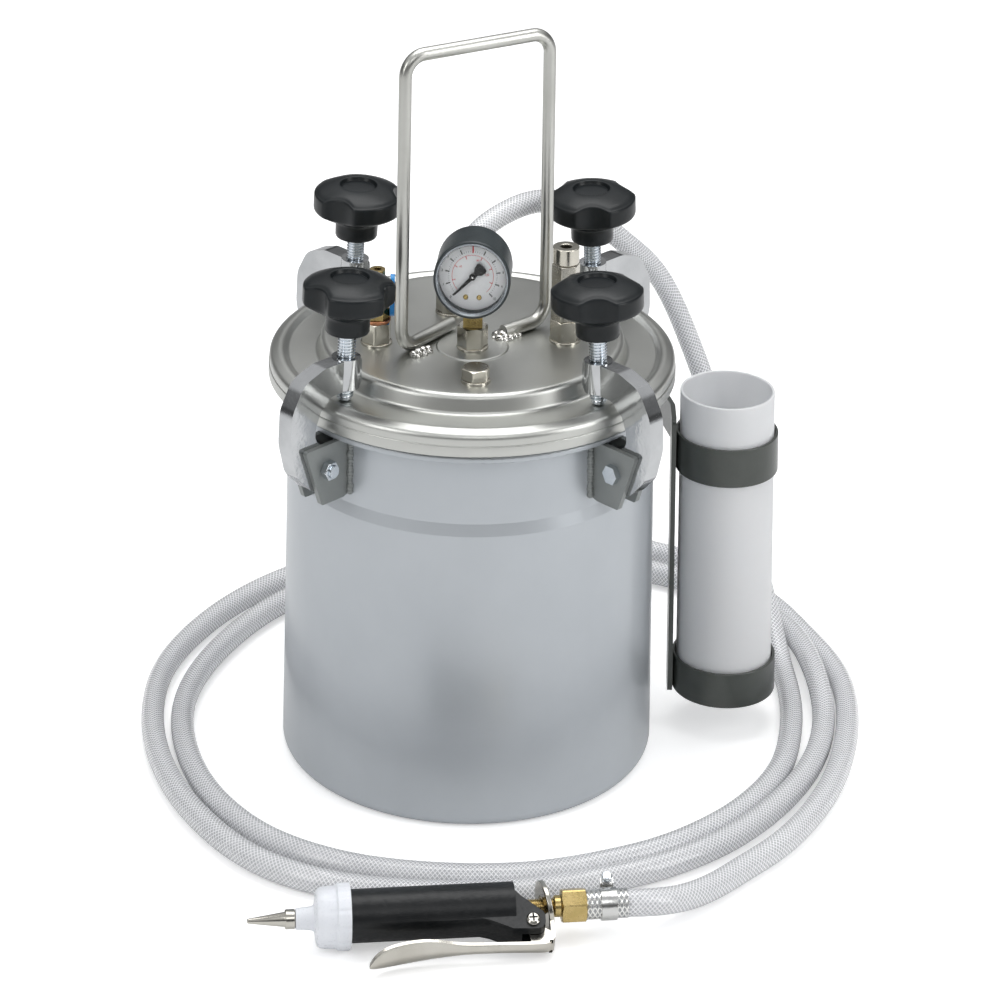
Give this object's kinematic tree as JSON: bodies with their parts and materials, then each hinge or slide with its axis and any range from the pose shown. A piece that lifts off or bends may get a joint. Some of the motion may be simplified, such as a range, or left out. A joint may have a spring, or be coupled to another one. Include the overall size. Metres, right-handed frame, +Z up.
{
  "type": "resin pressure pot",
  "caption": "Round pressure pot with a domed lid held by swing clamps and hand knobs, a gauge, valves, a coiled delivery hose, a hand gun and a side bottle holder.",
  "frame": {"origin": "centre of the pot's base, on the floor", "axes": "+Z up along the pot's axis; +Y away from the gauge's dial side; +X towards the bottle holder"},
  "size_m": [0.3903, 0.4621, 0.3785],
  "materials": {
    "pot_paint": "semi gloss silver grey",
    "lid_steel": "satin",
    "zinc": "bright zinc plated",
    "clamp_chrome": "polished chrome plated casting",
    "nickel": "satin nickel plated",
    "brass": "turned",
    "copper": "soft copper",
    "knob_black": "moulded black",
    "grip_black": "moulded black",
    "seal": "grey rubber",
    "gauge_black": "dark grey",
    "dial_white": "matt white with scale marks",
    "lens_clear": "clear",
    "pointer_black": "matt black",
    "lever_blue": "blue sleeve",
    "hose_clear": "braided translucent",
    "holder_paint": "semi gloss dark grey",
    "bottle_clear": "translucent white",
    "cap_white": "moulded white",
    "steel": "bright"
  },
  "bodies": {
    "pot": {"tank_body": "pot_paint", "tank_rim_flange": "pot_paint", "lid_gasket": "seal", "lid_rim_ring": "lid_steel", "lid_shell": "lid_steel", "lid_centre_pad": "lid_steel", "lid_handle": "lid_steel", "lid_sockets": "nickel", "lid_blanking_plug": "nickel", "gauge_stem": "brass", "gauge_case": "gauge_black", "gauge_lens": "lens_clear", "gauge_dial": "dial_white", "gauge_dial_screws": "brass", "gauge_movement_plate": "brass", "gauge_pressure_tube": "copper", "vent_copper_washer": "copper", "vent_valve_body": "brass", "air_coupling_body": "nickel", "outlet_elbow": "nickel", "dip_tube": "steel", "delivery_hose": "hose_clear", "outlet_hose_clip": "steel", "clamp_brackets": "pot_paint", "clamp_hinge_bolts": "zinc", "clamp_hinge_nuts": "zinc", "holder_strap": "holder_paint", "holder_bands": "holder_paint", "gun_nozzle": "nickel", "gun_cap": "cap_white", "gun_grip": "grip_black", "gun_valve_tube": "brass", "gun_threaded_rod": "brass", "gun_hose_union": "brass", "gun_hose_clip": "steel", "gun_lever_pin": "nickel", "gun_spring": "steel"},
    "clamp_front_left": {"clamp_front_left": "clamp_chrome"},
    "screw_front_left": {"clamp_screw_front_left": "zinc"},
    "knob_front_left": {"knob_front_left": "knob_black"},
    "clamp_front_right": {"clamp_front_right": "clamp_chrome"},
    "screw_front_right": {"clamp_screw_front_right": "zinc"},
    "knob_front_right": {"knob_front_right": "knob_black"},
    "clamp_back_left": {"clamp_back_left": "clamp_chrome"},
    "screw_back_left": {"clamp_screw_back_left": "zinc"},
    "knob_back_left": {"knob_back_left": "knob_black"},
    "clamp_back_right": {"clamp_back_right": "clamp_chrome"},
    "screw_back_right": {"clamp_screw_back_right": "zinc"},
    "knob_back_right": {"knob_back_right": "knob_black"},
    "gauge_hand": {"gauge_pointer": "pointer_black", "gauge_pinion_arbor": "brass"},
    "gauge_sector": {"gauge_sector": "brass"},
    "vent_valve": {"vent_valve_ball": "steel", "vent_valve_lever": "lever_blue"},
    "air_sleeve": {"air_coupling_sleeve": "nickel"},
    "bottle": {"bottle": "bottle_clear"},
    "gun_lever": {"gun_lever": "steel"},
    "gun_needle": {"gun_needle": "steel"}
  },
  "joints": [
    {"name": "clamp_swing_front_left", "type": "hinge", "parent": "pot", "child": "clamp_front_left", "pos_m": [-0.08019, -0.08019, 0.1784], "axis": [0.7071, -0.7071, 0], "range_deg": [0, 120]},
    {"name": "screw_lift_front_left", "type": "slide", "parent": "clamp_front_left", "child": "screw_front_left", "axis": [0.0308, 0.0308, 0.999], "range_m": [0, 0.009]},
    {"name": "knob_turn_front_left", "type": "hinge", "parent": "screw_front_left", "child": "knob_front_left", "pos_m": [-0.06543, -0.06543, 0.25166], "axis": [0.0308, 0.0308, 0.999], "range_deg": [0, 2160]},
    {"name": "clamp_swing_front_right", "type": "hinge", "parent": "pot", "child": "clamp_front_right", "pos_m": [0.08019, -0.08019, 0.1784], "axis": [0.7071, 0.7071, 0], "range_deg": [0, 120]},
    {"name": "screw_lift_front_right", "type": "slide", "parent": "clamp_front_right", "child": "screw_front_right", "axis": [-0.0308, 0.0308, 0.999], "range_m": [0, 0.009]},
    {"name": "knob_turn_front_right", "type": "hinge", "parent": "screw_front_right", "child": "knob_front_right", "pos_m": [0.06543, -0.06543, 0.25166], "axis": [-0.0308, 0.0308, 0.999], "range_deg": [0, 2160]},
    {"name": "clamp_swing_back_left", "type": "hinge", "parent": "pot", "child": "clamp_back_left", "pos_m": [-0.08019, 0.08019, 0.1784], "axis": [-0.7071, -0.7071, 0], "range_deg": [0, 120]},
    {"name": "screw_lift_back_left", "type": "slide", "parent": "clamp_back_left", "child": "screw_back_left", "axis": [0.0308, -0.0308, 0.999], "range_m": [0, 0.009]},
    {"name": "knob_turn_back_left", "type": "hinge", "parent": "screw_back_left", "child": "knob_back_left", "pos_m": [-0.06543, 0.06543, 0.25166], "axis": [0.0308, -0.0308, 0.999], "range_deg": [0, 2160]},
    {"name": "clamp_swing_back_right", "type": "hinge", "parent": "pot", "child": "clamp_back_right", "pos_m": [0.08019, 0.08019, 0.1784], "axis": [-0.7071, 0.7071, 0], "range_deg": [0, 100]},
    {"name": "screw_lift_back_right", "type": "slide", "parent": "clamp_back_right", "child": "screw_back_right", "axis": [-0.0308, -0.0308, 0.999], "range_m": [0, 0.009]},
    {"name": "knob_turn_back_right", "type": "hinge", "parent": "screw_back_right", "child": "knob_back_right", "pos_m": [0.06543, 0.06543, 0.25166], "axis": [-0.0308, -0.0308, 0.999], "range_deg": [0, 2160]},
    {"name": "gauge_hand", "type": "hinge", "parent": "pot", "child": "gauge_hand", "pos_m": [-0.00052, -0.02948, 0.2572], "axis": [0.0698, 0.9976, 0], "range_deg": [0, 270]},
    {"name": "gauge_sector_rock", "type": "hinge", "parent": "pot", "child": "gauge_sector", "pos_m": [0.01092, -0.02347, 0.2572], "axis": [0.0698, 0.9976, 0], "range_deg": [-58.51, 0]},
    {"name": "vent_valve_turn", "type": "hinge", "parent": "pot", "child": "vent_valve", "pos_m": [-0.0516, -0.016, 0.2414], "axis": [1, 0, 0], "range_deg": [0, 90]},
    {"name": "air_sleeve_slide", "type": "slide", "parent": "pot", "child": "air_sleeve", "axis": [0, 0, -1], "range_m": [0, 0.0045]},
    {"name": "bottle_lift", "type": "slide", "parent": "pot", "child": "bottle", "axis": [0, 0, 1], "range_m": [0, 0.18]},
    {"name": "gun_lever_squeeze", "type": "hinge", "parent": "pot", "child": "gun_lever", "pos_m": [0.03406, -0.21097, 0.01023], "axis": [-0.0444, 0.372, -0.9272], "range_deg": [0, 5]},
    {"name": "gun_needle_pull", "type": "slide", "parent": "pot", "child": "gun_needle", "axis": [0.993, 0.1184, 0], "range_m": [0, 0.00107]}
  ],
  "couplings": [
    {"joint": "screw_lift_front_left", "follows": "knob_turn_front_left", "m_per_rad": 0.00023873},
    {"joint": "screw_lift_front_right", "follows": "knob_turn_front_right", "m_per_rad": 0.00023873},
    {"joint": "screw_lift_back_left", "follows": "knob_turn_back_left", "m_per_rad": 0.00023873},
    {"joint": "screw_lift_back_right", "follows": "knob_turn_back_right", "m_per_rad": 0.00023873},
    {"joint": "gauge_sector_rock", "follows": "gauge_hand", "ratio": -0.21667},
    {"joint": "gun_needle_pull", "follows": "gun_lever_squeeze", "m_per_rad": 0.0122}
  ]
}
